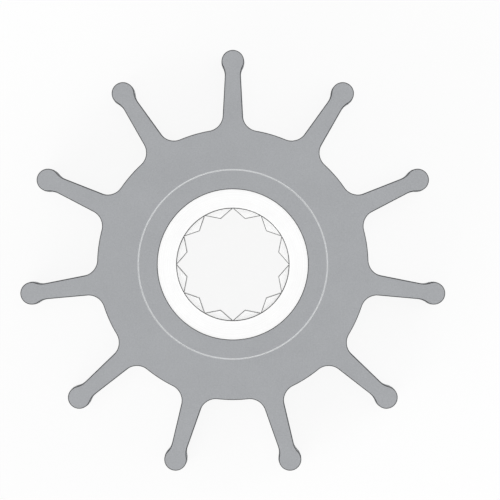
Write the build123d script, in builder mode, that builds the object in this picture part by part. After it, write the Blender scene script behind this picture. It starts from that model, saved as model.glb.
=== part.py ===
from build123d import *
from math import cos, pi, radians, sin
import os

# Flexible pump impeller: a rubber moulding with bulb-tipped vanes, bonded to a splined metal hub insert.
#
# Millimetres. The shaft axis is +Z and the origin is on it, midway between the two end faces.
# +Y runs through the middle of one vane. The impeller lies on its lower end face.

# Rubber moulding: overall form
OUTER_DIAMETER = 95.2
WIDTH = 63.5
HUB_DIAMETER = 60.2
VANE_COUNT = 11
UP = 90  # degrees: the direction of +Y, where the vanes and the spline grooves start

# Vane section, the same along the whole width
BULB_DIAMETER = 5.0
VANE_TIP_THICKNESS = 3.15  # between the flanks, carried on to the bulb's centre
VANE_ROOT_THICKNESS = 4.75  # between the flanks, at the hub circle
ROOT_FILLET = 3.6
NECK_FILLET = 4.0
EDGE_BREAK = 0.3  # chamfer round both end faces, on the vanes and the hub

# Hub insert: splined bore
SPLINE_COUNT = 12
SPLINE_MAJOR_DIAMETER = 25.0
SPLINE_DEPTH = 2.0  # from the bottom of a groove in to a crest
COUNTERBORE_DEPTH = 2.0
COUNTERBORE_CHAMFER = 0.2

# Hub insert: outer form, gripped by the rubber
INSERT_WALL = 4.3  # from the bottom of a spline groove out to the rubber
INSERT_RECESS = 0.5  # of each end below the rubber's end face
INSERT_CHAMFER = 0.15
COLLAR_LENGTH = 6.0  # plain stretch at each end
WAIST_LENGTH = 24.0
WAIST_DEPTH = 1.2
FLUTE_COUNT = 6
FLUTE_RADIUS = 2.0

# Fine V groove in both end faces, round the insert
RING_GROOVE_LAND = 4.2  # from the insert out to the middle of the groove
RING_GROOVE_WIDTH = 0.4
RING_GROOVE_DEPTH = 0.25

# Worked out from the sizes above
hub_radius = HUB_DIAMETER / 2
bulb_radius = BULB_DIAMETER / 2
bulb_centre = OUTER_DIAMETER / 2 - bulb_radius
major_radius = SPLINE_MAJOR_DIAMETER / 2
minor_radius = major_radius - SPLINE_DEPTH
insert_radius = major_radius + INSERT_WALL
insert_length = WIDTH - 2 * INSERT_RECESS
grip_length = insert_length - 2 * COLLAR_LENGTH
ring_groove_radius = insert_radius + RING_GROOVE_LAND


def from_axis(corner):
    """Distance of a corner from the shaft axis."""
    return Vector(corner.X, corner.Y).length


def at_radius(edges, radius):
    """The circular edges of one radius."""
    return edges.filter_by(GeomType.CIRCLE).filter_by(lambda edge: abs(edge.radius - radius) < 1e-4)


# The insert's outer form, which the rubber is moulded round
with BuildPart() as insert_form:
    Cylinder(insert_radius, insert_length)
    # A turned waist holds it endways
    with BuildSketch(Plane.XZ):
        with Locations((insert_radius, 0)):
            Rectangle(2 * WAIST_DEPTH, WAIST_LENGTH)
    revolve(axis=Axis.Z, mode=Mode.SUBTRACT)
    # Milled flutes, over spline crests where the wall is thickest, hold it against turning
    with PolarLocations(insert_radius, FLUTE_COUNT, start_angle=UP + 180 / SPLINE_COUNT):
        Cylinder(FLUTE_RADIUS, grip_length, mode=Mode.SUBTRACT)


def spline_points():
    """Corners of the splined bore: grooves reach the major diameter, and crests the minor one."""
    points = []
    pitch = 2 * pi / SPLINE_COUNT
    for tooth in range(SPLINE_COUNT):
        groove = radians(UP) + tooth * pitch
        crest = groove + pitch / 2
        points.append((major_radius * cos(groove), major_radius * sin(groove)))
        points.append((minor_radius * cos(crest), minor_radius * sin(crest)))
    return points


# Hub insert
with BuildPart() as hub_insert:
    add(insert_form.part)
    chamfer(at_radius(hub_insert.edges().group_by(Axis.Z)[0], insert_radius), INSERT_CHAMFER)
    chamfer(at_radius(hub_insert.edges().group_by(Axis.Z)[-1], insert_radius), INSERT_CHAMFER)
    with BuildSketch():
        Polygon(*spline_points(), align=None)
    extrude(amount=insert_length / 2, both=True, mode=Mode.SUBTRACT)
    # A plain counterbore at each mouth stands the splines back from the end face
    with BuildSketch(Plane.XY.offset(-insert_length / 2)):
        Circle(major_radius)
    extrude(amount=COUNTERBORE_DEPTH, mode=Mode.SUBTRACT)
    with BuildSketch(Plane.XY.offset(insert_length / 2)):
        Circle(major_radius)
    extrude(amount=-COUNTERBORE_DEPTH, mode=Mode.SUBTRACT)
    chamfer(at_radius(hub_insert.edges().group_by(Axis.Z)[0], major_radius), COUNTERBORE_CHAMFER)
    chamfer(at_radius(hub_insert.edges().group_by(Axis.Z)[-1], major_radius), COUNTERBORE_CHAMFER)

hub_insert.part.label = "hub_insert"

# A vane's straight flanks are carried on through the hub to the shaft axis
flank_taper = (VANE_ROOT_THICKNESS - VANE_TIP_THICKNESS) / (bulb_centre - hub_radius)
axis_thickness = VANE_ROOT_THICKNESS + flank_taper * hub_radius

# Rubber moulding: hub and vanes in one piece
with BuildPart() as vaned_body:
    with BuildSketch(Plane.XY.offset(-WIDTH / 2)) as outline:
        Circle(hub_radius)
        with PolarLocations(0, VANE_COUNT, start_angle=UP):
            Polygon(
                (0, -axis_thickness / 2),
                (bulb_centre, -VANE_TIP_THICKNESS / 2),
                (bulb_centre, VANE_TIP_THICKNESS / 2),
                (0, axis_thickness / 2),
                align=None,
            )
        with PolarLocations(bulb_centre, VANE_COUNT, start_angle=UP):
            Circle(bulb_radius)
        # The flanks meet the hub at roots and the bulbs at necks
        corners_by_radius = outline.vertices().group_by(from_axis)
        roots = corners_by_radius[0]
        necks = corners_by_radius[-1]
        fillet(roots, ROOT_FILLET)
        fillet(necks, NECK_FILLET)
    extrude(amount=WIDTH)
    chamfer(vaned_body.edges().group_by(Axis.Z)[0], EDGE_BREAK)
    chamfer(vaned_body.edges().group_by(Axis.Z)[-1], EDGE_BREAK)
    # The rubber fills the insert's waist and flutes, and stands proud of its ends
    add(insert_form.part, mode=Mode.SUBTRACT)
    with BuildSketch(Plane.XY.offset(-WIDTH / 2)):
        Circle(insert_radius)
    extrude(amount=INSERT_RECESS, mode=Mode.SUBTRACT)
    with BuildSketch(Plane.XY.offset(WIDTH / 2)):
        Circle(insert_radius)
    extrude(amount=-INSERT_RECESS, mode=Mode.SUBTRACT)
    # V groove in each end face
    with BuildSketch(Plane.XZ):
        for end_face, inward in ((WIDTH / 2, -1), (-WIDTH / 2, 1)):
            Polygon(
                (ring_groove_radius - RING_GROOVE_WIDTH / 2, end_face),
                (ring_groove_radius, end_face + inward * RING_GROOVE_DEPTH),
                (ring_groove_radius + RING_GROOVE_WIDTH / 2, end_face),
                align=None,
            )
    revolve(axis=Axis.Z, mode=Mode.SUBTRACT)

vaned_body.part.label = "vaned_body"

os.makedirs("parts", exist_ok=True)
for piece in (hub_insert.part, vaned_body.part):
    export_step(piece, f"parts/{piece.label}.step")
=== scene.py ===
# Looks of the flexible pump impeller: grey rubber vanes and hub, moulded round a pale, turned metal insert.
#
# Meshes are worked out in millimetres and made in metres, in the frame of the solids: the shaft axis is +Z,
# the origin is midway between the end faces, and +Y runs through the middle of one vane.

from math import asin, atan, atan2, cos, hypot, pi, radians, sin, sqrt

import bmesh
import bpy
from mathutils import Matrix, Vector
from mathutils.geometry import delaunay_2d_cdt


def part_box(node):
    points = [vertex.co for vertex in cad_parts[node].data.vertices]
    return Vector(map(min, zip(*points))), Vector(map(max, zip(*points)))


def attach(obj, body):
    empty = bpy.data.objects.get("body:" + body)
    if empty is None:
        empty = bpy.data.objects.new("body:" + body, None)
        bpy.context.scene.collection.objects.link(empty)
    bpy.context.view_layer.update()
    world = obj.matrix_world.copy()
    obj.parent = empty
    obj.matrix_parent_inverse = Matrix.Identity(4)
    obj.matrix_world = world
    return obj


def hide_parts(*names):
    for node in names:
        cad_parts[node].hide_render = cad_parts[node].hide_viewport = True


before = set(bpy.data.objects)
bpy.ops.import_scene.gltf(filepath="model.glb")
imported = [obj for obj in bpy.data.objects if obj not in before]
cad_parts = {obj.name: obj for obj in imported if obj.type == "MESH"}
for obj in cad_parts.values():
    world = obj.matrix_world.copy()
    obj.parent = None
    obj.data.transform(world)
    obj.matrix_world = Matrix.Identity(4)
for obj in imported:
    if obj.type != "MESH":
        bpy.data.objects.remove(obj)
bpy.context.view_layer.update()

MM = 0.001
UP = pi / 2  # the direction of +Y, where the vanes and the splines start

# Rubber moulding, as in the solids
OUTER_RADIUS = 47.6
HUB_RADIUS = 30.1
VANE_COUNT = 11
BULB_RADIUS = 2.5
VANE_TIP_THICKNESS = 3.15  # between the flanks, carried on to the bulb's centre
VANE_ROOT_THICKNESS = 4.75  # between the flanks, at the hub circle
ROOT_FILLET = 3.6
NECK_FILLET = 4.0
RING_GROOVE_RADIUS = 21.0
RING_GROOVE_WIDTH = 0.4
RING_GROOVE_DEPTH = 0.25

# Hub insert, as in the solids
SPLINE_COUNT = 12
MAJOR_RADIUS = 12.5
MINOR_RADIUS = 10.5
COUNTERBORE_DEPTH = 2.0
COLLAR_LENGTH = 6.0
WAIST_LENGTH = 24.0
WAIST_DEPTH = 1.2
FLUTE_COUNT = 6
FLUTE_RADIUS = 2.0

# Finish of the edges, finer than the solids have it
EDGE_ROUNDING = 0.32  # round the vanes and the hub, at both ends
LIP_ROUNDING = 0.1  # of the rubber lip round the insert
INSERT_CHAMFER = 0.1  # of the insert's outer rims
COUNTERBORE_CHAMFER = 0.1  # of the counterbores' rims
COUNTERBORE_FOOT = 0.1  # bevel that the cutter's corner leaves at the foot of a counterbore's wall
EASING = 0.03  # of the insert's chamfers
LEAD_IN = 0.11  # small chamfer where the splines start
PARTING_HEIGHT = 0.06  # fine line left by the mould round the outside, at mid-width
PARTING_HALF_WIDTH = 0.16  # at its foot
PARTING_CREST_HALF_WIDTH = 0.064  # at its top

# Fineness of the meshes, as steps along a curve
BULB_STEPS = 24
NECK_STEPS = 8
ROOT_STEPS = 14
HUB_STEPS = 6  # from a root fillet to the middle of the gap
EDGE_STEPS = 6
LIP_STEPS = 4
EASING_STEPS = 3
SPLINE_STEPS = 24  # round the axis, from one spline groove to the next

# Treatment of the meshes
FLUTE_EDGE_GAP = radians(0.02)  # from a flute's edge to the nearest direction on each side
CREASE_ANGLE = radians(30)  # faces that turn by more than this meet at a crisp edge
MERGE_DISTANCE = 0.001  # points nearer than this become one
FILL_TOLERANCE = 1e-6
INSIDE_ONLY = 1  # kind of filling: triangles within the outer loop

# Worked out from the sizes above and from the solids' own boxes
half_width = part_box("vaned_body")[1].z / MM
half_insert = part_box("hub_insert")[1].z / MM
insert_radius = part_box("hub_insert")[1].x / MM
bulb_centre = OUTER_RADIUS - BULB_RADIUS
waist_radius = insert_radius - WAIST_DEPTH
half_grip = half_insert - COLLAR_LENGTH
half_waist = WAIST_LENGTH / 2
spline_top = half_insert - COUNTERBORE_DEPTH
bevel_radius = MAJOR_RADIUS - COUNTERBORE_FOOT


# Mesh building


class Skin:
    """A mesh in the making, built from closed loops of points."""

    def __init__(self):
        self.points = []
        self.faces = []

    def loop(self, points):
        """Adds a closed loop and returns its points' numbers."""
        first = len(self.points)
        self.points.extend(points)
        return list(range(first, len(self.points)))

    def bridge(self, loop, next_loop):
        """Joins two loops of as many points with quads."""
        for i in range(len(loop)):
            j = (i + 1) % len(loop)
            self.faces.append((loop[i], loop[j], next_loop[j], next_loop[i]))

    def bridge_all(self, loops):
        """Joins each loop with the next."""
        for loop, next_loop in zip(loops, loops[1:]):
            self.bridge(loop, next_loop)

    def fill_between(self, outer, inner):
        """Fills the flat ring between an outline and a circle, whatever their numbers of points."""
        numbers = outer + inner
        flat = [Vector(self.points[number][:2]) for number in numbers]
        edges = [(i, (i + 1) % len(outer)) for i in range(len(outer))]
        edges += [(len(outer) + i, len(outer) + (i + 1) % len(inner)) for i in range(len(inner))]
        _, _, triangles, sources, _, _ = delaunay_2d_cdt(flat, edges, [], INSIDE_ONLY, FILL_TOLERANCE)
        circle = set(inner)
        for triangle in triangles:
            corners = [numbers[sources[i][0]] for i in triangle]
            # A triangle with every corner on the circle lies inside it
            if not circle.issuperset(corners):
                self.faces.append(corners)

    def build(self, name, material):
        """Makes the Blender object, in metres, with smooth faces and crisp creases."""
        mesh = bpy.data.meshes.new(name)
        mesh.from_pydata([(x * MM, y * MM, z * MM) for x, y, z in self.points], [], self.faces)
        work = bmesh.new()
        work.from_mesh(mesh)
        bmesh.ops.remove_doubles(work, verts=work.verts, dist=MERGE_DISTANCE * MM)
        bmesh.ops.recalc_face_normals(work, faces=work.faces)
        work.to_mesh(mesh)
        work.free()
        mesh.shade_smooth()
        mesh.set_sharp_from_angle(angle=CREASE_ANGLE)
        mesh.materials.append(material)
        piece = bpy.data.objects.new(name, mesh)
        bpy.context.scene.collection.objects.link(piece)
        weighting = piece.modifiers.new("even shading", "WEIGHTED_NORMAL")
        weighting.keep_sharp = True
        return piece


def turned(x, y, angle):
    """A point or a direction, turned round the shaft axis."""
    c, s = cos(angle), sin(angle)
    return x * c - y * s, x * s + y * c


def arc(centre, radius, start, end, steps, hollow=False):
    """Points along an arc, each with the normal that leads out of the material."""
    side = -1 if hollow else 1
    result = []
    for i in range(steps + 1):
        angle = start + (end - start) * i / steps
        x, y = cos(angle), sin(angle)
        result.append((centre[0] + radius * x, centre[1] + radius * y, side * x, side * y))
    return result


def eased(section, size, steps):
    """A section's line with each corner between its ends rounded off."""
    result = [section[0]]
    for before, corner, after in zip(section, section[1:], section[2:]):
        corner = Vector(corner)
        entry = corner + (Vector(before) - corner).normalized() * size
        leaving = corner + (Vector(after) - corner).normalized() * size
        for i in range(steps + 1):
            t = i / steps
            result.append(tuple(entry.lerp(corner, t).lerp(corner.lerp(leaving, t), t)))
    result.append(section[-1])
    return result


# Outline of the rubber


def flank_fillet(radius, circle_x, reach):
    """Centre of a fillet against a vane's flank, as far as reach from a circle on the vane's middle line.

    The vane runs along +X. Also gives the direction from the centre to the flank, as an angle.
    """
    slope = atan((VANE_ROOT_THICKNESS - VANE_TIP_THICKNESS) / 2 / (bulb_centre - HUB_RADIUS))
    normal = Vector((sin(slope), cos(slope)))
    toward_hub = Vector((-cos(slope), sin(slope)))
    start = Vector((bulb_centre, VANE_TIP_THICKNESS / 2)) + radius * normal
    offset = start - Vector((circle_x, 0))
    along = offset.dot(toward_hub)
    spread = sqrt(along * along - offset.length_squared + reach * reach)
    travel = min(t for t in (-along - spread, -along + spread) if t > 0)
    return start + travel * toward_hub, atan2(-normal.y, -normal.x)


def vane_side():
    """One side of a vane, which runs along +X, from the middle of its tip to the middle of the gap."""
    neck, to_flank = flank_fillet(NECK_FILLET, bulb_centre, BULB_RADIUS + NECK_FILLET)
    root, _ = flank_fillet(ROOT_FILLET, 0, HUB_RADIUS + ROOT_FILLET)
    neck_on_bulb = atan2(neck.y, neck.x - bulb_centre)
    root_on_hub = atan2(root.y, root.x)
    line = arc((bulb_centre, 0), BULB_RADIUS, 0, neck_on_bulb, BULB_STEPS)
    line += arc(neck, NECK_FILLET, neck_on_bulb - pi, to_flank, NECK_STEPS, hollow=True)[1:]
    line += arc(root, ROOT_FILLET, to_flank, root_on_hub - pi, ROOT_STEPS, hollow=True)
    line += arc((0, 0), HUB_RADIUS, root_on_hub, pi / VANE_COUNT, HUB_STEPS)[1:]
    return line


def rubber_outline():
    """The whole outline, anticlockwise, as points with their normals."""
    side = vane_side()
    mirrored = [(x, -y, nx, -ny) for x, y, nx, ny in reversed(side)]
    vane = mirrored[:-1] + side[:-1]
    outline = []
    for number in range(VANE_COUNT):
        angle = UP + number * 2 * pi / VANE_COUNT
        outline += [(*turned(x, y, angle), *turned(nx, ny, angle)) for x, y, nx, ny in vane]
    return outline


# Round forms, as a radius for each of one list of directions


def flute_half_angle():
    """From a flute's middle to its edge, seen from the shaft axis."""
    return 2 * asin(FLUTE_RADIUS / 2 / insert_radius)


def flute_directions():
    """The directions of the flutes' middles, over spline crests."""
    return [UP + pi / SPLINE_COUNT + number * 2 * pi / FLUTE_COUNT for number in range(FLUTE_COUNT)]


def round_directions():
    """Even directions, with each spline corner among them, and a close pair at each flute's edge."""
    count = SPLINE_COUNT * SPLINE_STEPS
    result = [UP + i * 2 * pi / count for i in range(count)]
    for middle in flute_directions():
        for edge in (middle - flute_half_angle(), middle + flute_half_angle()):
            result += [edge - FLUTE_EDGE_GAP, edge + FLUTE_EDGE_GAP]
    return sorted((direction - UP) % (2 * pi) + UP for direction in result)


def fluted_radius(direction):
    """The insert's grip, with its milled flutes."""
    for middle in flute_directions():
        turn = (direction - middle + pi) % (2 * pi) - pi
        if abs(turn) < flute_half_angle():
            across = insert_radius * sin(turn)
            return insert_radius * cos(turn) - sqrt(FLUTE_RADIUS**2 - across**2)
    return insert_radius


def waisted_radius(direction):
    """The grip at its turned waist, which the flutes cross."""
    return min(fluted_radius(direction), waist_radius)


def spline_radius(direction, outward=0.0):
    """The splined bore: straight lines from grooves to crests, moved outward if asked."""
    half_pitch = pi / SPLINE_COUNT
    turn = abs((direction - UP + half_pitch) % (2 * half_pitch) - half_pitch)
    product = MAJOR_RADIUS * MINOR_RADIUS * sin(half_pitch)
    radius = product / (MAJOR_RADIUS * sin(turn) + MINOR_RADIUS * sin(half_pitch - turn))
    groove_to_crest = hypot(MAJOR_RADIUS - MINOR_RADIUS * cos(half_pitch), MINOR_RADIUS * sin(half_pitch))
    line_from_axis = product / groove_to_crest
    return radius * (line_from_axis + outward) / line_from_axis


def lead_in_radius(direction):
    """The mouth of the splined bore, no wider than the counterbore."""
    return min(MAJOR_RADIUS, spline_radius(direction, LEAD_IN))


def foot_radius(direction):
    """Where the bevel at a counterbore's foot ends: on a crest's flat, or at a groove's lead-in."""
    return max(bevel_radius, lead_in_radius(direction))


def foot_height(direction):
    """The height of that end at the upper counterbore, on the bevel's slope."""
    return spline_top + foot_radius(direction) - bevel_radius


def mirrored_height(z):
    """A height, or a function that gives one, taken to the lower end."""
    if callable(z):
        return lambda direction: -z(direction)
    return -z


def both_halves(section):
    """A section that starts at the upper end and stops at mid-width, led on to the lower end."""
    return section + [(radius, mirrored_height(z)) for radius, z in reversed(section)]


directions = round_directions()


def round_loop(skin, radius, z):
    """Adds a loop whose radius and height are numbers, or functions of the direction."""
    radii = [radius(direction) if callable(radius) else radius for direction in directions]
    heights = [z(direction) if callable(z) else z for direction in directions]
    return skin.loop([(r * cos(d), r * sin(d), h) for r, d, h in zip(radii, directions, heights)])


# Where the rubber and the insert meet between the collars, from the upper end down to mid-width
GRIP_SECTION = [
    (insert_radius, half_grip),
    (fluted_radius, half_grip),
    (fluted_radius, half_waist),
    (waisted_radius, half_waist),
]


# Pieces


def make_rubber(material):
    """Hub and vanes in one piece, with rounded edges, a fine parting line and two ring grooves."""
    skin = Skin()
    outline = rubber_outline()

    def outline_loop(inset, z):
        return skin.loop([(x - nx * inset, y - ny * inset, z) for x, y, nx, ny in outline])

    angles = [pi / 2 * (1 - step / EDGE_STEPS) for step in range(EDGE_STEPS + 1)]
    insets = [EDGE_ROUNDING * (1 - cos(angle)) for angle in angles]
    heights = [half_width - EDGE_ROUNDING * (1 - sin(angle)) for angle in angles]
    outer_section = list(zip(insets, heights))
    outer_section += [(0, PARTING_HALF_WIDTH), (-PARTING_HEIGHT, PARTING_CREST_HALF_WIDTH)]
    outside = [outline_loop(inset, z) for inset, z in both_halves(outer_section)]

    groove_inner = RING_GROOVE_RADIUS - RING_GROOVE_WIDTH / 2
    groove_outer = RING_GROOVE_RADIUS + RING_GROOVE_WIDTH / 2
    lip = [(groove_inner, half_width), (insert_radius, half_width), (insert_radius, half_grip)]
    inner_section = [(groove_outer, half_width), (RING_GROOVE_RADIUS, half_width - RING_GROOVE_DEPTH)]
    inner_section += eased(lip, LIP_ROUNDING, LIP_STEPS)[:-1] + GRIP_SECTION
    inside = [round_loop(skin, radius, z) for radius, z in both_halves(inner_section)]

    skin.bridge_all(outside)
    skin.bridge_all(inside)
    skin.fill_between(outside[0], inside[0])
    skin.fill_between(outside[-1], inside[-1])
    return skin.build("vaned_body_moulding", material)


def make_insert(material):
    """The metal insert: eased chamfers at its rims, and a fine bevel and lead-in where the splines start."""
    skin = Skin()
    rim = [
        (MAJOR_RADIUS, spline_top + COUNTERBORE_FOOT),
        (MAJOR_RADIUS, half_insert - COUNTERBORE_CHAMFER),
        (MAJOR_RADIUS + COUNTERBORE_CHAMFER, half_insert),
        (insert_radius - INSERT_CHAMFER, half_insert),
        (insert_radius, half_insert - INSERT_CHAMFER),
        (insert_radius, half_grip),
    ]
    bore = [
        (foot_radius, foot_height),
        (lead_in_radius, spline_top),
        (spline_radius, spline_top - LEAD_IN),
    ]
    # Down the outside from the upper counterbore, and back up the bore
    section = both_halves(eased(rim, EASING, EASING_STEPS)[:-1] + GRIP_SECTION)
    section += reversed(both_halves(bore))
    loops = [round_loop(skin, radius, z) for radius, z in section]
    skin.bridge_all(loops)
    skin.bridge(loops[-1], loops[0])
    return skin.build("hub_insert_turned", material)


# Materials


class Graph:
    """Adds nodes to a material or world. An input is given as a value, or as another node's output."""

    def __init__(self, owner):
        owner.use_nodes = True
        self.tree = owner.node_tree
        self.tree.nodes.clear()

    def add(self, kind, inputs=None, **settings):
        """Adds a node, with its inputs by name or number and its other settings."""
        node = self.tree.nodes.new("ShaderNode" + kind)
        for name, value in settings.items():
            setattr(node, name, value)
        for name, value in (inputs or {}).items():
            if isinstance(value, bpy.types.NodeSocket):
                self.tree.links.new(value, node.inputs[name])
            else:
                node.inputs[name].default_value = value
        return node

    def math(self, operation, a, b=0.0, c=0.0, clamp=False):
        return self.add("Math", {0: a, 1: b, 2: c}, operation=operation, use_clamp=clamp).outputs[0]

    def parts(self, vector):
        """A vector's parts, under the names X, Y and Z."""
        return self.add("SeparateXYZ", {0: vector}).outputs

    def length(self, vector):
        return self.add("VectorMath", {0: vector}, operation="LENGTH").outputs["Value"]

    def stretched(self, at, factors):
        """The place, scaled by a factor along each axis."""
        return self.add("VectorMath", {0: at, 1: factors}, operation="MULTIPLY").outputs[0]

    # The sockets of a Mix node repeat their names, so they go by number

    def mix(self, share, a, b):
        """Mixes two numbers."""
        return self.add("Mix", {0: share, 2: a, 3: b}, data_type="FLOAT").outputs[0]

    def blend(self, share, a, b):
        """Mixes two colours."""
        return self.add("Mix", {0: share, 6: a, 7: b}, data_type="RGBA").outputs[2]

    def shaded(self, colour, factor):
        """A colour, made lighter or darker by a factor."""
        return self.add("HueSaturation", {"Color": colour, "Value": factor}).outputs[0]

    def noise(self, at, texture, kind="3D"):
        """Noise from 0 to 1. A texture is its size in millimetres, its detail and its roughness."""
        size, detail, roughness = texture
        place = "W" if kind == "1D" else "Vector"
        inputs = {place: at, "Scale": 1 / (size * MM), "Detail": detail, "Roughness": roughness}
        return self.add("TexNoise", inputs, noise_dimensions=kind).outputs[0]

    def within(self, noise, low, high):
        """Noise from 0 to 1, brought to run from low to high."""
        return self.math("MULTIPLY_ADD", noise, high - low, low)

    def ramp(self, value, start, end):
        """0 up to the start, and rising to 1 at the end."""
        return self.math("DIVIDE", self.math("SUBTRACT", value, start), end - start, clamp=True)

    def window(self, value, middle, reach, margin):
        """1 within reach of the middle, falling to 0 over the margin."""
        away = self.math("ABSOLUTE", self.math("SUBTRACT", value, middle))
        return self.math("DIVIDE", self.math("SUBTRACT", reach + margin, away), margin, clamp=True)

    def bump(self, height, depth, below=None):
        """Bump of a height from 0 to 1, as deep as the depth in millimetres, over the one below."""
        inputs = {"Height": height, "Distance": depth * MM, "Strength": 1.0}
        if below is not None:
            inputs["Normal"] = below
        return self.add("Bump", inputs).outputs[0]


def place_nodes(graph):
    """Position, distance from the shaft axis, and how far a surface faces the ends, from 0 to 1."""
    coordinates = graph.add("TexCoord").outputs
    position = coordinates["Object"]
    across = graph.stretched(position, (1, 1, 0))
    radius = graph.length(across)
    facing = graph.math("ABSOLUTE", graph.parts(coordinates["Normal"])["Z"])
    return position, radius, facing


def finish_material(graph, surface):
    graph.add("OutputMaterial", {"Surface": surface})


# Rubber's colours, and where they go
RUBBER = (0.386, 0.397, 0.413, 1)
# Near-black painted shade on the rounded edges at the ends, which turn away from the overhead light
RUBBER_EDGE_SHADE = (0.030, 0.031, 0.033, 1)
RUBBER_BLOOM = (0.75, 0.76, 0.77, 1)
RUBBER_FLAT = (0.84, 0.92)  # how far a surface faces the ends where the painted edge shade gives way to the end face
BLOOM_HALF_WIDTH = 0.13  # of the pale line along the ring groove
BLOOM_MARGIN = 0.08
GROOVE_BELT_HALF_WIDTH = 0.25  # round the ring groove, whose sloping walls don't get the painted edge shade
GROOVE_BELT_MARGIN = 0.05

# Rubber's textures: size in millimetres, detail and roughness, and the shades and depths that they give
MOTTLE = (9, 3.0, 0.6)
MOTTLE_SHADES = (0.94, 1.06)
GRAIN = (0.3, 4.0, 0.7)
GRAIN_SHADES = (0.85, 1.15)
GRAIN_DEPTH = 0.030
DRAW_MARKS = (0.6, 3.0, 0.6)
DRAW_STRETCH = (1, 1, 0.03)  # the marks of drawing from the mould run along the shaft axis
MARK_SHADES = (0.94, 1.06)
MARK_DEPTH = 0.020
ORANGE_PEEL = (1.6, 2.0, 0.5)
ORANGE_PEEL_DEPTH = 0.015
RUBBER_ROUGHNESS = (0.42, 0.62)
RUBBER_SPECULAR = 0.45


def rubber_material():
    """Grey rubber: ground end faces, moulded walls, painted shade on the rounded edges at the ends, and pale
    bloom in the groove.
    """
    material = bpy.data.materials.new("moulded_rubber")
    graph = Graph(material)
    position, radius, facing = place_nodes(graph)
    from_middle = graph.math("ABSOLUTE", graph.parts(position)["Z"])

    mottle = graph.noise(position, MOTTLE)
    grain = graph.noise(position, GRAIN)
    orange_peel = graph.noise(position, ORANGE_PEEL)
    draw_marks = graph.noise(graph.stretched(position, DRAW_STRETCH), DRAW_MARKS)

    near_end = graph.math("GREATER_THAN", from_middle, (half_width - EDGE_ROUNDING) * MM)
    groove = RING_GROOVE_RADIUS * MM
    bloom = graph.window(radius, groove, BLOOM_HALF_WIDTH * MM, BLOOM_MARGIN * MM)
    belt = graph.window(radius, groove, GROOVE_BELT_HALF_WIDTH * MM, GROOVE_BELT_MARGIN * MM)
    flat = graph.ramp(facing, *RUBBER_FLAT)
    end_face = graph.math("MAXIMUM", flat, graph.math("MULTIPLY", belt, near_end))
    marks = graph.mix(end_face, draw_marks, grain)

    # The rounded band at each end that isn't end face gets the painted edge shade
    side = graph.blend(near_end, RUBBER, RUBBER_EDGE_SHADE)
    colour = graph.blend(end_face, side, RUBBER)
    shade = graph.within(mottle, *MOTTLE_SHADES)
    shade = graph.math("MULTIPLY", shade, graph.within(grain, *GRAIN_SHADES))
    shade = graph.math("MULTIPLY", shade, graph.within(marks, *MARK_SHADES))
    colour = graph.shaded(colour, shade)
    colour = graph.blend(graph.math("MULTIPLY", bloom, near_end), colour, RUBBER_BLOOM)

    normal = graph.bump(orange_peel, ORANGE_PEEL_DEPTH)
    normal = graph.bump(grain, GRAIN_DEPTH, below=normal)
    normal = graph.bump(marks, MARK_DEPTH, below=normal)
    surface = graph.add(
        "BsdfPrincipled",
        {
            "Base Color": colour,
            "Roughness": graph.within(orange_peel, *RUBBER_ROUGHNESS),
            "Specular IOR Level": RUBBER_SPECULAR,
            "Normal": normal,
        },
    )
    finish_material(graph, surface.outputs[0])
    return material


# Steel's colours, and how far a surface faces the ends where they go
STEEL = (0.92, 0.92, 0.92, 1)
STEEL_WALL = (0.72, 0.72, 0.72, 1)
# Near-black painted shade on surfaces sloping at about 45 degrees: the chamfers by the rubber lip and at the
# counterbores' rims, the lead-ins, and the bevels in the counterbores' corners
STEEL_CHAMFER_SHADE = (0.08, 0.08, 0.08, 1)
STEEL_FLAT = (0.80, 0.95)
CHAMFER_FACING = cos(pi / 4)  # of a chamfer at 45 degrees
CHAMFER_REACH = 0.10
CHAMFER_MARGIN = 0.08

# Steel's textures: size in millimetres, detail and roughness, and the shades and depth that they give
FACING_CUT = (0.16, 2.0, 0.6)
BROACHING = (0.25, 3.0, 0.6)
LINE_SHADES = (0.91, 1.09)
LINE_DEPTH = 0.012
CLOUD = (3.0, 3.0, 0.6)
STEEL_ROUGHNESS = (0.28, 0.42)


def steel_material():
    """Pale steel: facing cuts on the end faces, chamfers, lead-ins and foot bevels painted near black as
    shade, and duller walls with broaching lines.
    """
    material = bpy.data.materials.new("turned_steel")
    graph = Graph(material)
    position, radius, facing = place_nodes(graph)
    parts = graph.parts(position)
    direction = graph.math("ARCTAN2", parts["Y"], parts["X"])
    round_bore = graph.math("MULTIPLY", direction, MAJOR_RADIUS * MM)

    facing_cut = graph.noise(radius, FACING_CUT, kind="1D")
    broaching = graph.noise(round_bore, BROACHING, kind="1D")
    cloud = graph.noise(position, CLOUD)

    end_face = graph.ramp(facing, *STEEL_FLAT)
    # Where the painted shade goes: surfaces that slope at about 45 degrees
    chamfer_shade = graph.window(facing, CHAMFER_FACING, CHAMFER_REACH, CHAMFER_MARGIN)
    lines = graph.mix(end_face, broaching, facing_cut)
    colour = graph.blend(end_face, STEEL_WALL, STEEL)
    colour = graph.blend(chamfer_shade, colour, STEEL_CHAMFER_SHADE)
    surface = graph.add(
        "BsdfPrincipled",
        {
            "Base Color": graph.shaded(colour, graph.within(lines, *LINE_SHADES)),
            "Metallic": 1.0,
            "Roughness": graph.within(cloud, *STEEL_ROUGHNESS),
            "Normal": graph.bump(lines, LINE_DEPTH),
        },
    )
    finish_material(graph, surface.outputs[0])
    return material


# Stage

WHITE = (1, 1, 1, 1)
FLOOR_BOUNCE = (0.7, 0.7, 0.7, 1)
FLOOR_GLOW = 0.89  # share of the floor's white that shadow doesn't take away, under the object
GLOW_GAIN = 0.3  # added to that share with each metre away, so that the floor ends in plain white
FLOOR_HALF = 3.0  # metres
WORLD_LIGHT = 0.45

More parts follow.
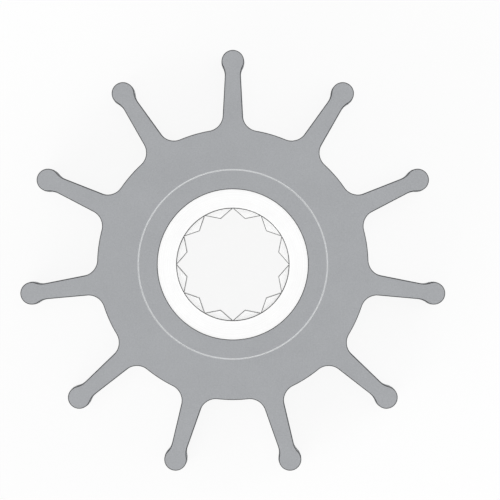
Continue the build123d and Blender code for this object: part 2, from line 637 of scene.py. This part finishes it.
# Lamps: strength or watts, place in metres, and angle or diameter in metres
OVERHEAD_STRENGTH = 0.58
OVERHEAD_PLACE = (0, 0, 2)
OVERHEAD_ANGLE = radians(7)
KEY_WATTS = 10.5
KEY_PLACE = (-0.9, -1.0, 1.1)
FILL_WATTS = 7.0
FILL_PLACE = (1.2, 0.6, 0.9)
LAMP_DIAMETER = 1.6

# Photograph, a square of this many pixels, and where it shows the shaft axis
PHOTO_SIZE = 500
AXIS_PIXEL_X = 232.3
AXIS_PIXEL_Y = 263.9
MM_PER_PIXEL = 0.2219
LENS = 1600  # millimetres: long, because a drawing has no perspective
SENSOR = 36  # millimetres
FARTHEST = 20  # metres from the camera, well past the floor


def seen_directly(graph):
    """1 for rays from the camera, from a mirror or through glass, which see the plain white ground."""
    rays = graph.add("LightPath").outputs
    shiny = graph.math("MAXIMUM", rays["Is Glossy Ray"], rays["Is Transmission Ray"])
    return graph.math("MAXIMUM", rays["Is Camera Ray"], shiny)


def floor_material():
    """White to the eye, with the object's shadow, and plain pale grey to the light that bounces off it."""
    material = bpy.data.materials.new("floor")
    graph = Graph(material)
    away = graph.length(graph.add("TexCoord").outputs["Object"])
    share = graph.math("MULTIPLY_ADD", away, GLOW_GAIN, FLOOR_GLOW, clamp=True)
    plain = graph.add("BsdfDiffuse", {"Color": FLOOR_BOUNCE})
    shaded = graph.add("BsdfDiffuse", {"Color": WHITE})
    glow = graph.add("Emission", {"Color": WHITE, "Strength": 1.0})
    white = graph.add("MixShader", {0: share, 1: shaded.outputs[0], 2: glow.outputs[0]})
    surface = graph.add("MixShader", {0: seen_directly(graph), 1: plain.outputs[0], 2: white.outputs[0]})
    finish_material(graph, surface.outputs[0])
    return material


def make_world():
    """White where it is seen, and soft, dimmer light for the object."""
    world = bpy.data.worlds.new("studio")
    bpy.context.scene.world = world
    graph = Graph(world)
    light = graph.add("Background", {"Color": WHITE, "Strength": WORLD_LIGHT})
    seen = graph.add("Background", {"Color": WHITE, "Strength": 1.0})
    surface = graph.add("MixShader", {0: seen_directly(graph), 1: light.outputs[0], 2: seen.outputs[0]})
    graph.add("OutputWorld", {"Surface": surface.outputs[0]})


def make_floor():
    """A square that the object stands on."""
    z = -half_width * MM
    corners = [(FLOOR_HALF * x, FLOOR_HALF * y, z) for x, y in ((-1, -1), (1, -1), (1, 1), (-1, 1))]
    mesh = bpy.data.meshes.new("floor")
    mesh.from_pydata(corners, [], [(0, 1, 2, 3)])
    mesh.materials.append(floor_material())
    floor = bpy.data.objects.new("floor", mesh)
    bpy.context.scene.collection.objects.link(floor)


def make_light(name, kind, power, place, **settings):
    """A light that looks at the origin from its place."""
    data = bpy.data.lights.new(name, kind)
    data.energy = power
    for setting, value in settings.items():
        setattr(data, setting, value)
    light = bpy.data.objects.new(name, data)
    light.location = place
    light.rotation_euler = Vector(place).to_track_quat("Z", "Y").to_euler()
    bpy.context.scene.collection.objects.link(light)
    return light


def make_lights():
    """Soft light from straight above, into the gaps and the bore, and a broad lamp to each side."""
    overhead = make_light("overhead", "SUN", OVERHEAD_STRENGTH, OVERHEAD_PLACE, angle=OVERHEAD_ANGLE)
    overhead.visible_glossy = False
    make_light("key", "AREA", KEY_WATTS, KEY_PLACE, shape="DISK", size=LAMP_DIAMETER)
    make_light("fill", "AREA", FILL_WATTS, FILL_PLACE, shape="DISK", size=LAMP_DIAMETER)


def make_camera():
    """Straight above, at the photograph's scale on the upper end face, with one vane straight up."""
    middle = (PHOTO_SIZE - 1) / 2
    picture_width = PHOTO_SIZE * MM_PER_PIXEL
    data = bpy.data.cameras.new("camera")
    data.sensor_width = SENSOR
    data.lens = LENS
    data.clip_end = FARTHEST
    camera = bpy.data.objects.new("camera", data)
    camera.location = (
        (middle - AXIS_PIXEL_X) * MM_PER_PIXEL * MM,
        (AXIS_PIXEL_Y - middle) * MM_PER_PIXEL * MM,
        (half_width + picture_width * LENS / SENSOR) * MM,
    )
    bpy.context.scene.collection.objects.link(camera)
    bpy.context.scene.camera = camera


# The whole scene

for piece, node, slot in (
    (make_rubber(rubber_material()), "vaned_body", "vane_rubber"),
    (make_insert(steel_material()), "hub_insert", "insert_metal"),
):
    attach(piece, "root")
    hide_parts(node)

make_world()
make_floor()
make_lights()
make_camera()
bpy.context.scene.view_settings.view_transform = "Standard"
